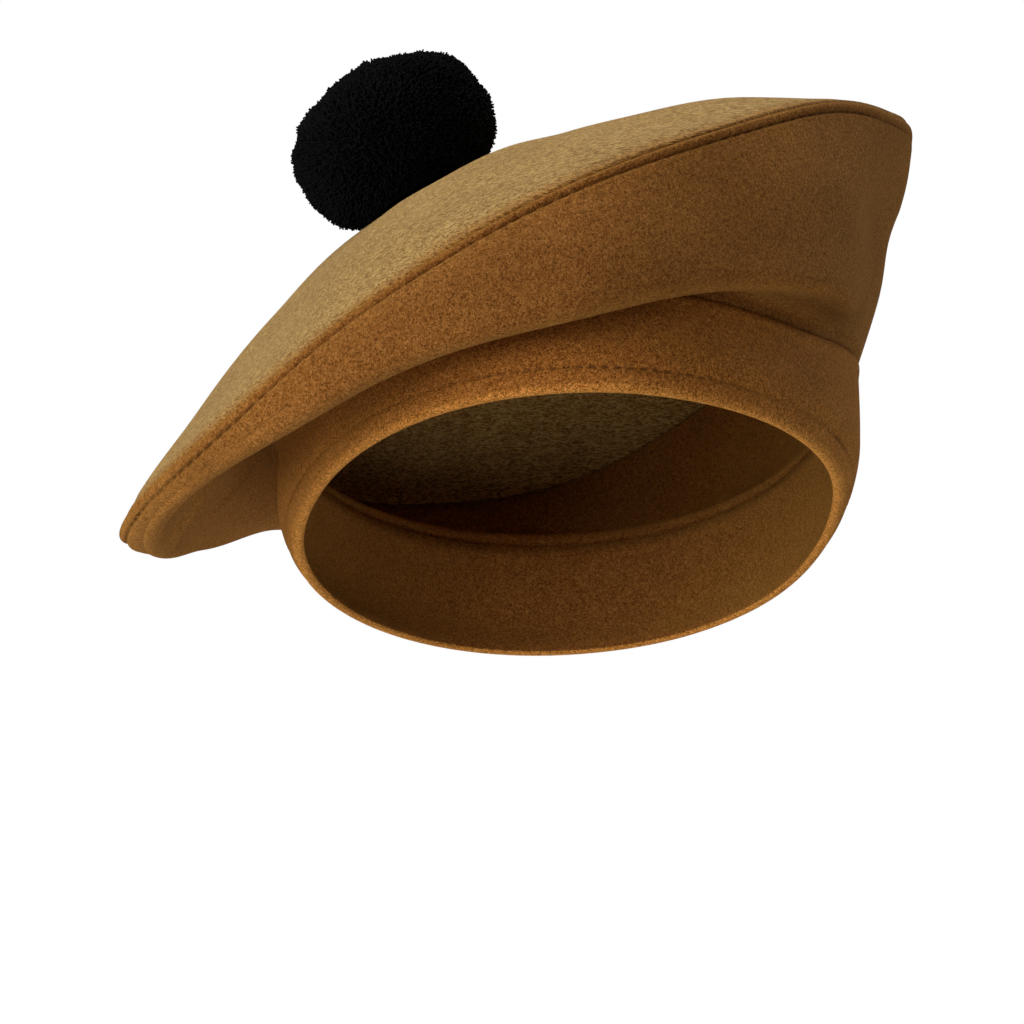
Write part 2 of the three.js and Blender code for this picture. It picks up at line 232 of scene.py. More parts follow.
def section(azimuth):
    """Closed Catmull-Rom curve through each column of the table, at an array of azimuths."""
    place = azimuth / TURN * len(ROWS)
    base = np.floor(place).astype(int)
    t = (place - base)[..., None]
    a, b, c, d = (ROWS[(base + step) % len(ROWS)] for step in (-1, 0, 1, 2))
    value = b + 0.5 * t * (c - a + t * (2 * a - 5 * b + 4 * c - d + t * (3 * (b - c) + d - a)))
    return dict(zip(COLUMNS, np.moveaxis(value, -1, 0)))


def azimuths(count=AROUND):
    return np.arange(count) / count * TURN


def ellipse_reach(azimuth):
    """Radius of the band's ellipse: one over the length of (cos/width, sin/depth)."""
    return 1 / np.hypot(np.cos(azimuth) / BAND_HALF_WIDTH, np.sin(azimuth) / BAND_HALF_DEPTH)


def polar(azimuth, reach, rise):
    return np.stack([reach * np.cos(azimuth), reach * np.sin(azimuth), rise + 0 * azimuth], -1)


def seam_at(azimuth):
    """The table's row at an azimuth, and its seam in 3-D."""
    row = section(azimuth)
    return row, polar(azimuth, row["seam_reach"], row["seam_rise"])


def unit(vectors):
    return vectors / np.linalg.norm(vectors, axis=-1, keepdims=True)


def place(points):
    """Points over a level opening, tipped back about X and then to the side about Y, in metres."""
    back, side = math.radians(-TIP_BACK), math.radians(-TIP_SIDE)
    about_x, about_y = np.eye(3), np.eye(3)
    about_x[1:, 1:] = [[math.cos(back), -math.sin(back)], [math.sin(back), math.cos(back)]]
    about_y[::2, ::2] = [[math.cos(side), math.sin(side)], [-math.sin(side), math.cos(side)]]
    return points @ (about_y @ about_x).T * MM


def softness(points, size, height, seed):
    """Slow dents and swells of about this size: eight sines summed, in fixed random directions."""
    draw = np.random.default_rng(seed)
    ways = unit(draw.normal(size=(8, 3)))
    waves = TURN / (size * draw.uniform(0.6, 1.6, 8))
    phases = draw.uniform(0, TURN, 8)
    return height / math.sqrt(8) * np.sin((points @ ways.T) * waves + phases).sum(-1)


def bump(x, middle, half_width):
    """A smooth hill of height 1: a squared cosine over twice its half width."""
    t = np.clip((x - middle) / half_width, -1, 1)
    return np.cos(t * math.pi / 2) ** 2


def wander(turns, pace, sway, slow, lag=0.0):
    """A sine whose pace along a seam is uneven, because a slower sine sways it."""
    return np.sin(turns * pace + sway * np.sin(turns * slow) + lag)


def rolled(distance, radius):
    """How far an edge rounded as a circle has turned in: 1 at the edge, 0 from its radius on."""
    t = np.clip(1 - distance / radius, 0, 1)
    return 1 - np.sqrt(1 - t * t)


# ---- meshes from rings and grids

def add_object(name, data, spot=(0, 0, 0)):
    """An object of the given data, linked to the scene."""
    made = bpy.data.objects.new(name, data)
    made.location = spot
    bpy.context.scene.collection.objects.link(made)
    return made


def new_piece(name, faces, material, slot, *nodes):
    """A piece at the origin, on the bonnet's one body, that stands for the given nodes. faces holds
    its points (mm over the level opening, with the felt's painted light and shade after them, if
    any), its quads and its triangles."""
    points, quads, triangles = faces
    points, shade = points[:, :3], points[:, 3:]
    mesh = bpy.data.meshes.new(name)
    starts = np.concatenate([np.arange(len(quads)) * 4, quads.size + np.arange(len(triangles)) * 3])
    corners = np.concatenate([quads.ravel(), triangles.ravel()]).astype(np.int32)
    mesh.vertices.add(len(points))
    mesh.vertices.foreach_set("co", place(points).astype(np.float32).ravel())
    mesh.loops.add(len(corners))
    mesh.loops.foreach_set("vertex_index", corners)
    mesh.polygons.add(len(starts))
    mesh.polygons.foreach_set("loop_start", starts.astype(np.int32))
    mesh.polygons.foreach_set("use_smooth", np.full(len(starts), True))
    if shade.size:
        rgba = np.concatenate([shade, np.ones((len(shade), 1))], 1).astype(np.float32)
        mesh.attributes.new("shade", "FLOAT_COLOR", "POINT").data.foreach_set("color", rgba.ravel())
    mesh.update(calc_edges=True)
    mesh.validate()
    mesh.materials.append(material)
    piece = add_object(name, mesh)
    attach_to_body(piece, "root")
    if nodes:
        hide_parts(*nodes)
    return piece


def rings_of(rows, steps):
    """Every row of a grid of points (round, across, values) as a ring, thinned by its own step."""
    return [rows[::step, index] for index, step in enumerate(steps)]


def skin(rings, closed):
    """Quads between neighbouring rings of equal count, and triangles where one has twice the
    other's. A closed skin joins its last ring to its first, and an open one ends in the middles of
    its end rings. Gives the points, quads and triangles."""
    counts = [len(ring) for ring in rings]
    starts = np.concatenate([[0], np.cumsum(counts)])
    quads, triangles = [], []
    for near in range(len(rings) if closed else len(rings) - 1):
        far = (near + 1) % len(rings)
        a, b, here, there = starts[near], starts[far], counts[near], counts[far]
        i = np.arange(min(here, there))
        after = (i + 1) % len(i)
        if here == there:
            quads.append(np.stack([a + i, a + after, b + after, b + i], 1))
            continue
        left, middle, right = 2 * i, 2 * i + 1, 2 * after
        few, many, way = (a, b, 1) if there > here else (b, a, -1)
        triangles += [np.stack(corners[::way], 1) for corners in (
            (few + i, many + middle, many + left), (few + i, few + after, many + middle),
            (few + after, many + right, many + middle))]
    points = np.concatenate(rings)
    if not closed:
        points = np.concatenate([points, rings[0].mean(0)[None], rings[-1].mean(0)[None]])
        for ring, pole, way in ((0, -2, 1), (-1, -1, -1)):
            i = np.arange(counts[ring])
            base = starts[:-1][ring]
            triangles.append(np.stack([np.full(len(i), len(points) + pole), base + (i + 1) % len(i),
                                       base + i], 1)[:, ::way])
    return points, np.concatenate(quads), np.concatenate(triangles + [NO_TRIANGLES])


def section_ring(aside, over, sides):
    """Corners of a regular section: the two directions times the cosine and sine of even turns."""
    angle = azimuths(sides)[:, None]
    return aside[..., None, :] * np.cos(angle) + over[..., None, :] * np.sin(angle)


def tube_faces(tubes, rings, sides):
    """Quads of many short tubes side by side, with both ends closed across, and no triangles."""
    tube, ring, side = (index.ravel() for index in np.indices((tubes, rings - 1, sides)))
    near, over = (tube * rings + ring) * sides, (side + 1) % sides
    far = near + sides
    walls = np.stack([near + side, near + over, far + over, far + side], 1)
    first = np.arange(tubes)[:, None] * rings * sides
    last = first + (rings - 1) * sides
    caps = [end + np.array([0, middle, middle + 1, middle + 2])[::way]
            for middle in range(1, sides - 2, 2) for end, way in ((first, -1), (last, 1))]
    return np.concatenate([walls] + caps), NO_TRIANGLES


# ---- the side piece

def arc(centre, radius, start, end, shares):
    """Points on circles: centre plus radius times (cos, sin) of an angle running start to end."""
    angle = start[:, None] + (end - start)[:, None] * shares
    radius = np.broadcast_to(radius, start.shape)[:, None]
    return centre[:, None] + np.stack([np.cos(angle), np.sin(angle)], -1) * radius[..., None]


def right_of(vectors):
    return unit(np.stack([vectors[..., 1], -vectors[..., 0]], -1))


def between(start, end, shares, belly):
    """A straight way from start to end, swelling to its right by belly times a half sine."""
    along, swell = end - start, (belly * np.sin(math.pi * shares))[..., None]
    return start[:, None] + along[:, None] * shares[..., None] + right_of(along)[:, None] * swell


def band_reach(azimuth, row, level):
    """Reach of the band's face: the ellipse less the hem's tuck and the lean of the band."""
    height = level * (row["band_rise"] - row["rim_rise"])
    tuck = HEM_TUCK * np.clip(1 - height / HEM_TUCK_HEIGHT, 0, None) ** 2
    lean = (FRONT_LEAN * np.sin(azimuth) ** 2 - SIDE_LEAN * np.cos(azimuth)) * level
    return ellipse_reach(azimuth) - tuck - lean


def tangent_heading(way, radius, turn):
    """Heading of a tangent between two rounds: the bearing of the way between their middles, turned
    by the arc sine of radius over distance."""
    distance = np.linalg.norm(way, axis=1)
    heading = np.arctan2(way[:, 1], way[:, 0]) + turn * np.arcsin(np.minimum(1, radius / distance))
    return np.arctan2(np.sin(heading), np.cos(heading))


def worn(azimuth):
    """How rubbed the seam is: a hill of height 1 over the high side of the crown, where wear has
    rounded its edge and smoothed its relief."""
    off = np.arctan2(np.sin(azimuth), np.cos(azimuth)) - math.radians(RUBBED_AT)
    return bump(off, 0, math.radians(RUBBED_HALF))[:, None]


def side_line(azimuth, counts):
    """The side piece's middle line in (reach, rise): up off the band, clockwise round the shoulder,
    along the underside, counterclockwise round the fold, and up the face to the seam. Also each
    point's station: up to 0 on the shoulder, 1 where the fold starts, 2 at its end, 3 at the
    seam."""
    row = section(azimuth)
    start, fold, seam = (np.stack(pair, -1) for pair in (
        (band_reach(azimuth, row, 1) - FELT / 2, row["band_rise"]),
        (row["fold_reach"], row["fold_rise"]), (row["seam_reach"], row["seam_rise"])))
    shoulder = start + [SHOULDER_ROUND, SHOULDER_STAND]
    under = tangent_heading(fold - shoulder, SHOULDER_ROUND + row["fold_round"], -1)
    face = tangent_heading(seam - fold, row["fold_round"], 1)
    quarter, slack = math.pi / 2, 1 - worn(azimuth)
    shares = [np.broadcast_to(np.linspace(0, 1, count + 1), (len(azimuth), count + 1))
              for count in counts[:3]]
    over = arc(shoulder, SHOULDER_ROUND, np.full_like(under, math.pi), under + quarter, shares[0])
    round_fold = arc(fold, row["fold_round"], under - quarter, face - quarter, shares[2])
    beneath = between(over[:, -1], round_fold[:, 0], shares[1][:, 1:-1],
                      UNDER_BELLY * (0.4 + 0.6 * slack))
    near = seam_shares(np.linalg.norm(seam - round_fold[:, -1], axis=1), *counts[3:])
    front = between(round_fold[:, -1], seam, near[:, 1:], FACE_BELLY * slack)
    line = np.concatenate([start[:, None], over, beneath, round_fold, front], 1)
    station = np.concatenate([shares[0][:, :1] - 1, shares[0] - 1, shares[1][:, 1:-1],
                              shares[2] + 1, near[:, 1:] + 2], 1)
    return line, station


def seam_shares(span, coarse, fine):
    """Shares of ways that end at a seam: even steps, then fine ones over the seam's own zone."""
    zone = np.minimum(SEAM_ZONE / span, 0.85)[:, None]
    return np.concatenate([(1 - zone) * np.linspace(0, 1, coarse, endpoint=False),
                           1 - zone * np.linspace(1, 0, fine)], 1)


def line_normals(line):
    """Right-hand normals of lines in a plane, from the mean of the two neighbouring headings."""
    steps = unit(np.diff(line, axis=1))
    return right_of(np.concatenate([steps[:, :1], steps[:, :-1] + steps[:, 1:], steps[:, -1:]], 1))


def way_left(points):
    """Distance along each line from every point to the line's end."""
    steps = np.linalg.norm(np.diff(points, axis=1), axis=-1)
    run = np.concatenate([np.zeros((len(points), 1)), np.cumsum(steps, 1)], 1)
    return run[:, -1:] - run


def seam_frame(azimuth):
    """The seam's points, and the way into it that both the side and the disc roll along."""
    line, _ = side_line(azimuth, (2, 2, 2, 6, 6))
    last = unit(line[:, -1] - line[:, -2])
    side = polar(azimuth, last[:, 0], last[:, 1])
    row, point = seam_at(azimuth)
    spoke = unit((point - BUTTON) * [1, 1, 0])
    top = unit(spoke - np.array([0, 0, 1]) * row["seam_fall"][:, None])
    return point, unit(-(side + top))


def seam_length(point):
    """Distance run along a closed line of points, starting with 0."""
    steps = np.linalg.norm(np.roll(point, -1, 0) - point, axis=1)
    return np.concatenate([[0], np.cumsum(steps)])


def stitch_turns(point, pitch):
    """Angle that grows by one turn a stitch along a closed line of points."""
    run = seam_length(point)
    return run[:-1] / run[-1] * round(run[-1] / pitch) * TURN


def stitched(turns, off, half_width, slant):
    """1 inside each stitch's slanted dent and 0 outside: a clipped cosine along the line times a
    hill across it."""
    wave = np.cos(turns + slant * off)
    return np.clip((wave + 0.5) / 0.6, 0, 1) * bump(off, 0, half_width)


def darkened(amount, warm):
    """Colour to multiply felt by to paint shade on it, and light where the tone is over 1: 1 where
    amount is 0, and the warm shade where it is 1.
    """
    return 1 + amount[..., None] * (np.array(warm) - 1)


def patch(azimuth, station, turn, drift, half_width, middle, half_length):
    """A smooth hill on the side piece: one by azimuth in degrees, whose middle drifts with the
    station so that a ridge runs aslant, times one by station."""
    return (bump(np.degrees(azimuth)[:, None], turn + drift * station, half_width)
            * bump(station, middle, half_length))


def seam_turn(left, rubbed, sewing, inner):
    """How far felt turns into the seam: its outer face rolls in as a circle, its inner one dives in
    with the seam allowance, and where it is rubbed the edge is round."""
    depth, rounding = sewing.groove_depth / MM, SEAM_ROUND * rubbed * rolled(left, SEAM_EDGE)
    if inner:
        return (depth + FELT * 0.9) * np.exp(-left / 1.5) + rounding
    return depth * rolled(left, 1.5) * (1 - 0.6 * rubbed) + rounding


def side_sewing(left, turns, rubbed, sewing):
    """Height of the side's sewn detail, and its painted crease shade from 0 to 1, by the way left
    to the seam: hills across it, some times waves along it. Its start is the seam with the band."""
    width = sewing.welt_width / MM
    start = left[:, :1] - left
    uneven = 0.68 + 0.32 * wander(turns, 0.083, 2, 0.031)
    dash = stitched(turns + 0.5 * np.sin(turns * 0.19), left - width, 0.6, 1.1) * uneven
    gathers = wander(turns, 2.37, 1.3, 0.31, 0.35 * left)
    relief = (sewing.welt_height / MM * bump(left, width * 0.46, width * 0.56)
              - 0.5 * bump(left, width, 0.9) - 0.45 * dash    # topstitching
              + 0.10 * gathers * bump(left, width * 0.5, width * 0.5)
              + 0.14 * np.cos(turns) * bump(left, width + 2.0, 1.8)    # puckers below it
              - 0.55 * rolled(start, 1.6)    # band's seam
              + 0.22 * bump(start, 3.2, 2.8) * wander(turns, 1.13, 2, 0.17))
    crease = np.clip(0.6 * dash + 0.4 * bump(left, width, 0.8) + 0.7 * rolled(left, 1.0)
                     + 0.2 * rolled(start, 1.2), 0, 1)
    return relief * (1 - 0.7 * rubbed * bump(left, 0, 14)), crease * (1 - 0.7 * rubbed)


def side_points(azimuth, sewing, inner=False):
    """Rows of the side piece's outer or inner face, from the band to the seam, each point with its
    painted shade after it: the middle line moved along its normals by half the felt, slow dents,
    the folds, the waist of the high side and the sewn detail, then turned into the seam."""
    line, station = side_line(azimuth, SIDE_STEPS_HIDDEN if inner else SIDE_STEPS)
    left = way_left(line)
    point, inward = seam_frame(azimuth)
    rubbed = worn(azimuth)
    rough = polar(azimuth[:, None], line[..., 0], line[..., 1])
    offset = (softness(rough, *SIDE_DENTS, SEED) * bump(left, 26, 22)
              - WAIST * rubbed * bump(left, 30, 22))
    for height, *spot in FOLDS:
        offset = offset + height * patch(azimuth, station, *spot)
    away = 1 - np.exp(-left / 2.5)
    shade = np.ones(line.shape[:2] + (3,))
    if inner:
        offset = offset - FELT / 2 * away
    else:
        turns = stitch_turns(point, sewing.stitch_pitch / MM)[:, None]
        relief, crease = side_sewing(left, turns, rubbed, sewing)
        offset = offset + FELT / 2 * away + relief
        # painted shade in the seam and the stitch dents, and in the hollows
        shade = darkened(crease, PAINTED_CREASE_SHADE)
        for tone, *spot in HOLLOWS:
            shade = shade * darkened(patch(azimuth, station, *spot), tone)
    face = line + line_normals(line) * offset[..., None]
    turned = inward[:, None] * seam_turn(left, rubbed, sewing, inner)[..., None]
    points = polar(azimuth[:, None], face[..., 0], face[..., 1]) + turned
    return np.concatenate([points, shade], -1)


# ---- the disc

def disc_point(azimuth, share):
    """The disc's outer face on the spoke from the button to the seam. Its height is the button's
    slant less a blunt cone, plus a cubic that meets the seam's height and fall."""
    row, seam = seam_at(azimuth)
    across = seam[..., :2] - BUTTON[:2]
    span = np.linalg.norm(across, axis=-1)
    slant = across @ BUTTON_SLOPE / span
    cone = lambda reach: PEAK_SLOPE * (np.hypot(reach, PEAK_ROUND) - PEAK_ROUND)
    missing = seam[..., 2] - (BUTTON[2] + slant * span - cone(span))
    slope = span * (PEAK_SLOPE * span / np.hypot(span, PEAK_ROUND) - row["seam_fall"] - slant)
    square, cube = 3 * missing - slope, slope - 2 * missing
    reach = share * span
    rise = BUTTON[2] + slant * reach - cone(reach) + share ** 2 * (square + cube * share)
    flat = BUTTON[:2] + across * share[..., None]
    return np.concatenate([flat, rise[..., None]], -1)


def disc_normal(azimuth, share):
    """Cross product of the disc's steps along and across its spokes."""
    small = 1e-3
    along = disc_point(azimuth, share + small) - disc_point(azimuth, share - small)
    across = disc_point(azimuth + small, share) - disc_point(azimuth - small, share)
    return unit(np.cross(along, across))


def disc_points(azimuth, sewing, inner=False):
    """Rows of the disc's outer or inner face, from near the button to the seam, each point with its
    painted shade after it: the plain disc moved along its normals by slow dents, the swell of its
    edge and small gathers. The edge rolls over towards the seam, where painted shade darkens it to
    the side's colour."""
    span = np.linalg.norm((seam_at(azimuth)[1] - BUTTON)[:, :2], axis=1)
    shares = seam_shares(span, *(DISC_STEPS_HIDDEN if inner else DISC_STEPS))[:, 1:]
    spokes = azimuth[:, None] + 0 * shares
    points, normals = disc_point(spokes, shares), disc_normal(spokes, shares)
    left = way_left(points)
    point, inward = seam_frame(azimuth)
    rubbed = worn(azimuth)
    offset = (softness(points, *DISC_SWELLS, SEED + 1) * (1 - np.exp(-left / 12))
              + rubbed * bump(left, SEAM_EDGE, SEAM_EDGE))
    for x, y, radius, height in DISC_DENTS:
        offset = offset + height * bump(np.hypot(points[..., 0] - x, points[..., 1] - y), 0, radius)
    turned = seam_turn(left, rubbed, sewing, inner)
    shade = np.ones(points.shape)
    if inner:
        offset = offset - FELT * (1 - np.exp(-left / 2.5))
    else:
        turns = stitch_turns(point, sewing.stitch_pitch / MM)[:, None]
        gathers = wander(turns, 2.37, 1.3, 0.31, 1.0)
        offset = (offset + 0.55 * bump(left, 1.9, 2.2) - 0.22 * bump(left, 5.4, 2.4)
                  + 0.09 * gathers * bump(left, 2.2, 2.4))
        turned = turned + 2.6 * (1 - rubbed) * rolled(left, 8.0)
        # painted shade: the rolled edge loses the disc's painted sheen and is darkened to the
        # side's colour, and the seam's crease is darker still
        edge = np.clip((7.2 + 0.3 * gathers - left) / 2.6, 0, 1)
        crease = 0.7 * rolled(left, 1.0) * (1 - 0.6 * rubbed)
        shade = darkened(edge, PAINTED_EDGE_SHADE) * darkened(crease, PAINTED_CREASE_SHADE)
    points = points + normals * offset[..., None] + inward[:, None] * turned[..., None]
    return np.concatenate([points, shade], -1)


def disc_height(x, y):
    """Height of the disc above a point: its bearing from the button gives the azimuth, and its
    distance over the spoke's length the share."""
    azimuth = azimuths(1440)
    seam = seam_at(azimuth)[1][:, :2] - BUTTON[:2]
    bearing = np.arctan2(seam[:, 1], seam[:, 0]) % TURN
    ahead = np.arctan2(np.sin(azimuth - bearing), np.cos(azimuth - bearing))
    want = np.arctan2(y - BUTTON[1], x - BUTTON[0]) % TURN
    found = want + np.interp(want, bearing, ahead, period=TURN)
    span = np.interp(want, bearing, np.linalg.norm(seam, axis=1), period=TURN)
    share = np.hypot(x - BUTTON[0], y - BUTTON[1]) / span
    return disc_point(found, share)[..., 2]


# ---- the band

def band_points(azimuth, sewing):
    """Closed rows of the band, each point with its painted light and shade after it: up its outer
    face, down its inner face and round the hem. A shallow groove holds the hem's stitches, and the
    top rolls into the seam above."""
    row = section(azimuth)
    height = (row["band_rise"] - row["rim_rise"])[:, None]
    hem_share, top_share = 0.27, 0.88
    levels = np.concatenate([np.linspace(0, hem_share, BAND_STEPS[0], endpoint=False),
                             np.linspace(hem_share, top_share, BAND_STEPS[1], endpoint=False),
                             np.linspace(top_share, 1, BAND_STEPS[2])])
    down_levels = np.linspace(1, 0, BAND_INSIDE_STEPS)
    face = lambda shares: np.stack([band_reach(azimuth, row, share) for share in shares], 1)
    reach, rise = face(levels), row["rim_rise"][:, None] + levels * height
    up, down = levels * height, (1 - levels) * height
    rim = polar(azimuth, reach[:, 0], rise[:, 0])
    turns = stitch_turns(rim, sewing.hem_pitch / MM)[:, None]
    hem = sewing.hem_height / MM + 0.25 * np.sin(3 * azimuth + 1)[:, None]
    faint = 0.5 + 0.5 * wander(azimuth, 7, 2, 2)[:, None]
    dash = stitched(turns, up - hem, 0.75, 0.0) * faint
    rough = polar(azimuth[:, None], reach, rise)
    relief = (0.28 * bump(up, hem * 0.5, hem * 0.5) - 0.2 * bump(up, hem, 0.9) - 0.4 * dash
              + 0.08 * np.cos(turns) * bump(up, hem + 1.6, 1.4)    # puckers over it
              + 0.35 * bump(down, 2.2, 2.4) - 0.6 * rolled(down, 1.5)    # seam above
              + softness(rough, *BAND_DENTS, SEED + 2) * bump(up, 20, 18))
    crease = np.clip(0.4 * dash + 0.12 * bump(up, hem, 0.9) + 0.2 * rolled(down, 1.2), 0, 1)
    # painted light over the whole band, a painted highlight along its lower edge, and painted shade
    # in the hem's stitches, groove and the seam above
    shade = (darkened(crease, PAINTED_CREASE_SHADE) * darkened(bump(up, 0, 1.1), (1.45, 1.6, 1.7))
             * PAINTED_BAND_LIGHT)
    half = BAND_WALL / 2
    bend = np.linspace(0, math.pi, HEM_TURN_STEPS + 2)[1:-1]
    hem_turn = polar(azimuth[:, None], reach[:, :1] - half + half * np.cos(bend),
                     rise[:, :1] - half * 0.62 * np.sin(bend))[:, ::-1]
    inside = polar(azimuth[:, None], face(down_levels) - BAND_WALL,
                   row["rim_rise"][:, None] + down_levels * height)
    parts = ((polar(azimuth[:, None], reach + relief, rise), shade), (inside, 1.0),
             (hem_turn, PAINTED_BAND_LIGHT * PAINTED_RIM_HIGHLIGHT))
    return np.concatenate([np.concatenate([points, np.broadcast_to(tone, points.shape)], -1)
                           for points, tone in parts], 1)


# ---- stitches

def stitches(path, outward, pitch, thread, sides=6, rings=9, fill=0.5, lift=-0.42, dip=0.5):
    """Many short threads along a closed line. Each fills its share of a pitch, lies a little under
    the cloth's face, as its negative lift says, and dips further at its tapered ends."""
    run = seam_length(path)
    count = round(run[-1] / pitch)
    share = np.linspace(-0.5, 0.5, rings)
    where = ((np.arange(count)[:, None] + share * fill) / count * run[-1]) % run[-1]
    line, out = (np.stack([np.interp(where, run, [*axis, axis[0]]) for axis in values.T], -1)
                 for values in (path, outward))
    out = unit(out)
    line = line + out * (lift - dip * (np.abs(share) * 2) ** 4)[None, :, None]
    along = unit(np.gradient(line, axis=1))
    aside = unit(np.cross(along, out))
    radius = thread / 2 * np.sqrt(np.clip(1.02 - (np.abs(share) * 2) ** 6, 0, 1))
    ring = section_ring(aside, np.cross(along, aside), sides)
    points = line[:, :, None] + ring * radius[None, :, None, None]
    return points.reshape(-1, 3), *tube_faces(count, rings, sides)


# ---- the pompom

def pompom_axes():
    """The pompom's own axes as columns: upright on the ground that it stands square to."""
    up = unit(np.array([-POMPOM_SLOPE[0], -POMPOM_SLOPE[1], 1.0]))
    aside = unit(np.cross([0, 1, 0], up))
    return np.stack([aside, np.cross(up, aside), up], 1)


def pompom_surface(ways, shrink):
    """The pompom's face in directions given in its own axes: an ellipsoid, shrunk by a little,
    with soft lumps where the wool was clipped unevenly, and set down on the disc."""
    size = np.array([POMPOM_HALF_LENGTH, POMPOM_HALF_LENGTH, POMPOM_HALF_HEIGHT])
    lumps = sum(softness(ways * size, *lump, SEED + 3 + index) for index, lump in enumerate(LUMPS))
    points = ways * (size - shrink)
    points = points + unit(ways / size) * lumps[..., None]
    return seated(points @ pompom_axes().T + BUTTON + pompom_axes()[:, 2] * POMPOM_SEAT)


def seated(points):
    """Points that would lie under the disc are raised to just above it."""
    floor = disc_height(points[..., 0], points[..., 1]) + POMPOM_CLEAR
    return np.concatenate([points[..., :2], np.maximum(points[..., 2:], floor[..., None])], -1)


def spiral_ways(count):
    """Directions spread evenly over a ball on a golden spiral."""
    index = np.arange(count)
    height = 1 - (2 * index + 1) / count
    turn = index * math.pi * (3 - math.sqrt(5))
    return polar(turn, np.sqrt(1 - height ** 2), height)


def pompom_core(settings):
    """Rings of directions round a ball, carried to the pompom's face shrunk by half its pile."""
    around, rings = 180, 90
    from_top = (np.arange(rings) + 0.5) / rings * math.pi
    ways = polar(azimuths(around)[:, None], np.sin(from_top), np.cos(from_top))
    return pompom_surface(ways[:, ::-1], TRIM + settings.pile / MM * 0.5)


def pompom_pile(settings):
    """Clipped wool ends: four-sided blunt prisms from inside the pompom to its face, each leaning
    a little its own way."""
    draw = np.random.default_rng(SEED + 5)
    count = settings.tufts
    ways = spiral_ways(count)
    root = pompom_surface(ways, TRIM + settings.pile / MM)
    stray = draw.normal(0, 0.03, (count, 3))
    tip = pompom_surface(unit(ways + stray), TRIM + draw.normal(0, 0.22, (count, 1)))
    showing = np.linalg.norm(tip - root, axis=1) > 0.4 * settings.pile / MM
    root, tip, count = root[showing], tip[showing], int(showing.sum())
    along = unit(tip - root)
    aside = unit(np.cross(along, unit(draw.normal(size=(count, 3)))))
    sides, thick = 4, settings.tuft / MM / 2
    ring = section_ring(aside, np.cross(along, aside), sides)
    rings = np.stack([root[:, None] + ring * thick, tip[:, None] + ring * thick * 0.7], 1)
    return rings.reshape(-1, 3), *tube_faces(count, 2, sides)


# ---- materials

def node(tree, kind, settings=None, links=None):
    """Adds a node. settings holds properties by name and input values by number or name under
    "in", and links holds (source node, output) by input."""
    made = tree.nodes.new(kind)
    for name, value in (settings or {}).items():
        if name == "in":
            for socket, default in value.items():
                made.inputs[socket].default_value = default
        elif name == "ramp":
            stops = made.color_ramp.elements
            while len(stops) < len(value):
                stops.new(0.5)
            for stop, (position, shade) in zip(stops, value):
                stop.position, stop.color = position, tuple(shade)
        else:
            setattr(made, name, value)
    for socket, (source, output) in (links or {}).items():
        tree.links.new(source.outputs[output], made.inputs[socket])
    return made


def new_material(name, constants):
    """A node material with its tree, its shader, which has these constants, and its Object
    coordinates."""
    material = bpy.data.materials.new(name)
    material.use_nodes = True
    tree = material.node_tree
    tree.nodes.clear()
    shader = node(tree, "ShaderNodeBsdfPrincipled", {"in": constants})
    node(tree, "ShaderNodeOutputMaterial", links={"Surface": (shader, "BSDF")})
    return material, tree, shader, (node(tree, "ShaderNodeTexCoord"), "Object")


def attach(tree, source, shader, socket):
    tree.links.new(source[0].outputs[source[1]], shader.inputs[socket])


def scaled(tree, vector, scale, rotation=(0, 0, 0)):
    return node(tree, "ShaderNodeMapping", {"in": {"Scale": scale, "Rotation": rotation}},
                {"Vector": vector}), 0


def noise(tree, vector, size, **constants):
    """Noise whose largest waves have this size in metres."""
    return node(tree, "ShaderNodeTexNoise", {"in": {"Scale": 1 / size, **constants}},
                {"Vector": vector}), 0


def ramp(tree, factor, *stops):
    return node(tree, "ShaderNodeValToRGB", {"ramp": stops}, {0: factor}), 0


def mixed(tree, kind, first, second, factor=None):
    """Mixes two colours in the given way, wholly or by a factor."""
    links = {6: first, 7: second, **({0: factor} if factor else {})}
    return node(tree, "ShaderNodeMix", {"data_type": "RGBA", "blend_type": kind, "in": {0: 1.0}},
                links), 2


def raised(tree, shader, height, strength, depth):
    """Bump on a shader from a height pattern, by this strength and depth in metres."""
    bump_node = node(tree, "ShaderNodeBump", {"in": {"Strength": strength, "Distance": depth}},
                     {"Height": height})
    attach(tree, (bump_node, 0), shader, "Normal")


def toned(rgba, factor):
    return (*(channel * factor for channel in rgba[:3]), 1)


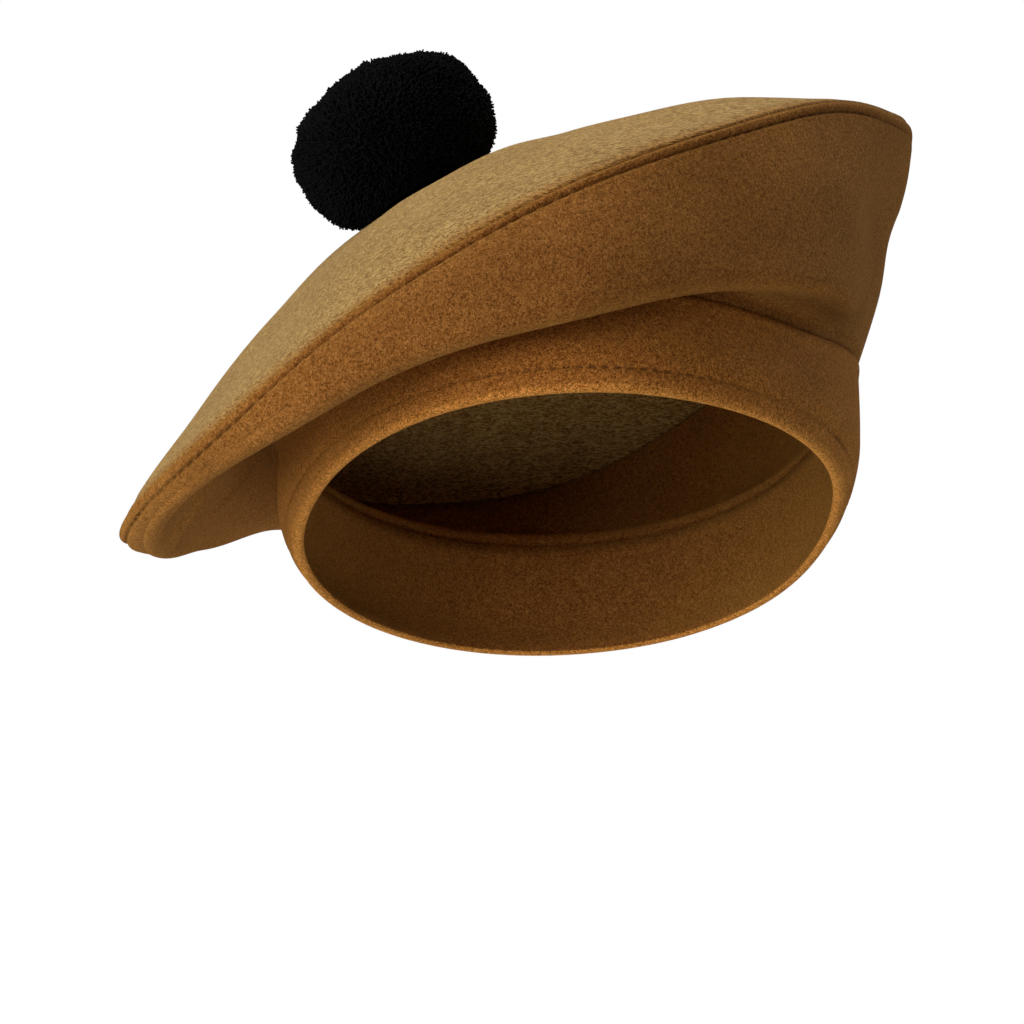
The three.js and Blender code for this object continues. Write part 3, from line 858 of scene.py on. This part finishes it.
def brushed_felt(name, light, body, deep, combed=1.0, contrast=1.2, sheen=0.45,
                 sheen_tint="#ECBC58"):
    """Brushed wool felt (melton): fulled wool whose raised fibres curl into tufts of under a
    millimetre, so that the eye sees fine mottling, a soft cloudiness from the way that the nap
    lies, stray pale hairs, and a bright edge where the nap is seen from the side. combed is how
    much longer the tufts lie along X than across, and sheen how strong that edge is. Single
    fibres, a few hundredths of a millimetre thick, are drawn coarser than real, as tufts."""
    material, tree, shader, place_on = new_material(name, {
        "Roughness": 0.92, "IOR": 1.45, "Specular IOR Level": 0.15, "Sheen Weight": sheen,
        "Sheen Roughness": 0.4, "Sheen Tint": linear(sheen_tint)})
    curl_size, grain_size, cloud_size, hair_gap = 0.66 * MM, 0.3 * MM, 26 * MM, 7 * MM
    lying = scaled(tree, place_on, (1 / combed, 1 / math.sqrt(combed), 1))
    curl = noise(tree, lying, curl_size, Detail=2.5, Roughness=0.6, Distortion=1.1)
    grain = noise(tree, lying, grain_size, Detail=2.0, Roughness=0.6, Distortion=0.4)
    cloud = noise(tree, place_on, cloud_size, Detail=3.0, Roughness=0.55)
    tufts = node(tree, "ShaderNodeMath", {"operation": "MULTIPLY_ADD", "in": {1: 0.7}},
                 {0: grain, 2: curl}), 0
    middle, spread = 0.85, 0.19 / contrast     # mean of curl plus 0.7 grain, and half its range
    tint = ramp(tree, tufts, (middle - spread, deep), (middle, body), (middle + spread, light))
    cloudy = ramp(tree, cloud, (0.3, (0.84, 0.81, 0.78, 1)), (0.7, (1.0, 1.0, 1.0, 1)))
    tangled = scaled(tree, lying, (0.35, 1, 1.2), (0.4, 0.5, 0.6))
    hairs = node(tree, "ShaderNodeTexVoronoi",
                 {"feature": "DISTANCE_TO_EDGE", "in": {"Scale": 1 / hair_gap}},
                 {"Vector": tangled})
    hair_line = node(tree, "ShaderNodeMapRange",
                     {"in": {"From Max": 0.012, "To Min": 0.3, "To Max": 0.0}}, {0: (hairs, 0)})
    hair_mask = node(tree, "ShaderNodeMath", {"operation": "MULTIPLY"},
                     {0: (hair_line, 0), 1: curl}), 0
    pale = node(tree, "ShaderNodeRGB")
    pale.outputs[0].default_value = tuple(light)
    # the shade attribute carries painted shade in seams, stitches and hollows, and painted light on
    # the band
    painted_light_and_shade = node(tree, "ShaderNodeAttribute", {"attribute_name": "shade"})
    clouded = mixed(tree, "MULTIPLY", tint, cloudy)
    whole = mixed(tree, "MIX", clouded, (pale, 0), hair_mask)
    attach(tree, mixed(tree, "MULTIPLY", whole, (painted_light_and_shade, "Color")), shader, "Base Color")
    raised(tree, shader, tufts, 1.0, 0.65 * MM)
    return material


def sewing_thread(felt):
    """Matt spun polyester thread: two plies twisted, so that fine slanting bands show on it."""
    material, tree, shader, place_on = new_material("spun_thread", {"Roughness": 0.7,
                                                                    "Specular IOR Level": 0.3})
    plies = noise(tree, place_on, 0.3 * MM, Detail=1.0)
    tint = ramp(tree, plies, (0.35, toned(felt.thread, 0.45)), (0.65, felt.thread))
    attach(tree, tint, shader, "Base Color")
    raised(tree, shader, plies, 0.6, 0.1 * MM)
    return material


def clipped_wool(settings):
    """Dyed, dense wool pile: it swallows almost all light, and only the tips catch a dull grey.
    Its yarn ends are drawn as tufts, fewer and thicker than real."""
    material, tree, shader, place_on = new_material("clipped_wool", {"Roughness": 0.95,
                                                                     "Specular IOR Level": 0.08})
    ends = noise(tree, place_on, 0.8 * MM, Detail=2.0)
    tint = ramp(tree, ends, (0.35, toned(settings.wool, 0.5)), (0.7, toned(settings.wool, 1.8)))
    attach(tree, tint, shader, "Base Color")
    return material


def pale_floor():
    """Matt white studio floor that fades out into the white room round it."""
    material, tree, shader, place_on = new_material("studio_floor", {
        "Base Color": linear("#F2F1EE"), "Roughness": 0.9})
    reach = node(tree, "ShaderNodeVectorMath", {"operation": "LENGTH"}, {0: place_on})
    fade = node(tree, "ShaderNodeMapRange",
                {"interpolation_type": "SMOOTHSTEP",
                 "in": {"From Min": FLOOR_FADE[0], "From Max": FLOOR_FADE[1], "To Min": 1.0,
                        "To Max": 0.0}},
                {0: (reach, "Value")})
    attach(tree, (fade, 0), shader, "Alpha")
    return material


# ---- operators

def wall_rings(rows_of, sewing, coarse, fine):
    """Rings of a felt wall, out along its outer face and back along its inner one, as rows_of gives
    them. The first rows are coarse and those at the seam fine."""
    outer, inner = rows_of(azimuths(), sewing), rows_of(azimuths(), sewing, inner=True)
    plain, hidden = outer.shape[1] - coarse - fine, inner.shape[1] - 1
    return (rings_of(outer, [4] * coarse + [2] * plain + [1] * fine)
            + rings_of(inner[:, ::-1], [2] + [4] * hidden))


class BONNET_OT_side(bpy.types.Operator):
    """Make the crown's side piece with its welt, folds and puckers"""
    bl_idname = "bonnet.side"
    bl_label = "Side piece"

    def execute(self, context):
        sewing, felt = context.scene.bonnet_sewing, context.scene.bonnet_felt
        rings = wall_rings(side_points, sewing, 0, SIDE_STEPS[-1])
        cloth = brushed_felt("brushed_felt_side", felt.light, felt.body, felt.deep)
        piece = new_piece("side_felt", skin(rings, closed=True), cloth, "side_felt", "crown_side")
        return {"FINISHED"}


class BONNET_OT_disc(bpy.types.Operator):
    """Make the crown's disc with its edge rolled into the seam"""
    bl_idname = "bonnet.disc"
    bl_label = "Disc"

    def execute(self, context):
        sewing, felt = context.scene.bonnet_sewing, context.scene.bonnet_felt
        rings = wall_rings(disc_points, sewing, DISC_COARSE_ROWS, DISC_STEPS[-1])
        cloth = brushed_felt("brushed_felt_disc", felt.disc_light, felt.disc_body, felt.disc_deep,
                             combed=3.5, contrast=1.5, sheen=0.35, sheen_tint="#ECD09A")
        piece = new_piece("disc_felt", skin(rings[::-1], closed=False), cloth, "top_felt",
                          "crown_top")
        return {"FINISHED"}


class BONNET_OT_band(bpy.types.Operator):
    """Make the doubled head band with its hem"""
    bl_idname = "bonnet.band"
    bl_label = "Head band"

    def execute(self, context):
        sewing, felt = context.scene.bonnet_sewing, context.scene.bonnet_felt
        rows = band_points(azimuths(), sewing)
        steps = ([1] * BAND_STEPS[0] + [2] * sum(BAND_STEPS[1:])
                 + [2] + [4] * (BAND_INSIDE_STEPS - 1) + [2] + [1] * (HEM_TURN_STEPS - 1))
        cloth = brushed_felt("brushed_felt_band", felt.light, felt.body, felt.deep)
        piece = new_piece("band_felt", skin(rings_of(rows, steps), closed=True), cloth, "band_felt",
                          "head_band")
        return {"FINISHED"}


class BONNET_OT_stitches(bpy.types.Operator):
    """Make the topstitching below the seam and the stitching of the hem"""
    bl_idname = "bonnet.stitches"
    bl_label = "Stitches"

    def execute(self, context):
        sewing, felt = context.scene.bonnet_sewing, context.scene.bonnet_felt
        thread, azimuth, index = sewing_thread(felt), azimuths(), np.arange(AROUND)
        outer = side_points(azimuth, sewing)[..., :3]
        column = np.abs(way_left(outer) - sewing.welt_width / MM).argmin(1)
        path = outer[index, column]
        down = outer[index, column - 3] - outer[index, column + 3]
        outward = unit(np.cross(down, np.roll(path, -1, 0) - np.roll(path, 1, 0)))
        thick = sewing.thread / MM
        new_piece("topstitching", stitches(path, outward, sewing.stitch_pitch / MM, thick),
                  thread, "side_felt")

        row, hem = section(azimuth), sewing.hem_height / MM
        reach = band_reach(azimuth, row, hem / (row["band_rise"] - row["rim_rise"]))
        path = polar(azimuth, reach, row["rim_rise"] + hem)
        outward = polar(azimuth, np.ones(AROUND), 0)
        faces = stitches(path, outward, sewing.hem_pitch / MM, thick * 0.7, lift=-0.55)
        new_piece("hem_stitching", faces, thread, "band_felt")
        return {"FINISHED"}


class BONNET_OT_pompom(bpy.types.Operator):
    """Make the pompom's core and its clipped wool ends"""
    bl_idname = "bonnet.pompom"
    bl_label = "Pompom"

    def execute(self, context):
        settings = context.scene.bonnet_pompom
        wool, core = clipped_wool(settings), pompom_core(settings)
        new_piece("pompom_core", skin(rings_of(core, [1] * core.shape[1]), closed=False), wool,
                  "pompom_wool", "pompom")
        new_piece("pompom_pile", pompom_pile(settings), wool, "pompom_wool")
        return {"FINISHED"}


class BONNET_OT_stage(bpy.types.Operator):
    """Make the floor, the soft lights and the camera"""
    bl_idname = "bonnet.stage"
    bl_label = "Stage"

    def execute(self, context):
        scene, settings = context.scene, context.scene.bonnet_stage
        scene.view_settings.view_transform = "Standard"

        corners = 96
        rim = polar(azimuths(corners), FLOOR_RADIUS, 0)
        mesh = bpy.data.meshes.new("floor")
        mesh.from_pydata(rim.tolist(), [], [list(range(corners))])
        mesh.materials.append(pale_floor())
        add_object("floor", mesh, (0, 0, -FLOOR_DROP))

        camera = bpy.data.cameras.new("camera")
        camera.lens, camera.sensor_width = settings.lens, 36
        camera.clip_start, camera.clip_end = 0.05, 50
        scene.camera = add_object("camera", camera, EYE)
        scene.camera.rotation_euler = (math.pi / 2, 0, 0)

        for name, (spot, share, size) in LAMPS.items():
            lamp = bpy.data.lights.new(name, "AREA")
            lamp.energy, lamp.size, lamp.shape = settings.key * share, size, "DISK"
            way = Vector(LAMPS_AIM) - Vector(spot)
            add_object(name, lamp, spot).rotation_euler = way.to_track_quat("-Z", "Y").to_euler()

        scene.world = bpy.data.worlds.new("white_room")
        scene.world.use_nodes = True
        tree = scene.world.node_tree
        tree.nodes.clear()
        lit, seen = (node(tree, "ShaderNodeBackground",
                          {"in": {"Color": linear("#FFFFFF"), "Strength": strength}})
                     for strength in (settings.fill, 1.0))
        rays = node(tree, "ShaderNodeLightPath")
        both = node(tree, "ShaderNodeMixShader", links={0: (rays, "Is Camera Ray"), 1: (lit, 0),
                                                        2: (seen, 0)})
        node(tree, "ShaderNodeOutputWorld", links={"Surface": (both, 0)})
        return {"FINISHED"}


class BONNET_PT_panel(bpy.types.Panel):
    """The bonnet's settings and its pieces"""
    bl_idname = "BONNET_PT_panel"
    bl_label = "Balmoral bonnet"
    bl_space_type = "VIEW_3D"
    bl_region_type = "UI"
    bl_category = "Bonnet"

    def draw(self, context):
        for name, group in GROUPS.items():
            box = self.layout.box()
            box.label(text=group.__doc__)
            for setting in group.__annotations__:
                box.prop(getattr(context.scene, name), setting)
        for operator in OPERATORS:
            self.layout.operator(operator.bl_idname)


GROUPS = {
    "bonnet_sewing": BonnetSewing,
    "bonnet_felt": BonnetFelt,
    "bonnet_pompom": BonnetPompom,
    "bonnet_stage": BonnetStage,
}
OPERATORS = (BONNET_OT_stage, BONNET_OT_side, BONNET_OT_disc, BONNET_OT_band,
             BONNET_OT_stitches, BONNET_OT_pompom)
CLASSES = (*GROUPS.values(), *OPERATORS, BONNET_PT_panel)


def register():
    for made in CLASSES:
        bpy.utils.register_class(made)
    for name, group in GROUPS.items():
        setattr(bpy.types.Scene, name, PointerProperty(type=group))


def unregister():
    for name in GROUPS:
        delattr(bpy.types.Scene, name)
    for made in reversed(CLASSES):
        bpy.utils.unregister_class(made)


def main():
    register()
    bpy.ops.bonnet.stage()
    bpy.ops.bonnet.side()
    bpy.ops.bonnet.disc()
    bpy.ops.bonnet.band()
    bpy.ops.bonnet.stitches()
    bpy.ops.bonnet.pompom()


if __name__ == "__main__":
    main()
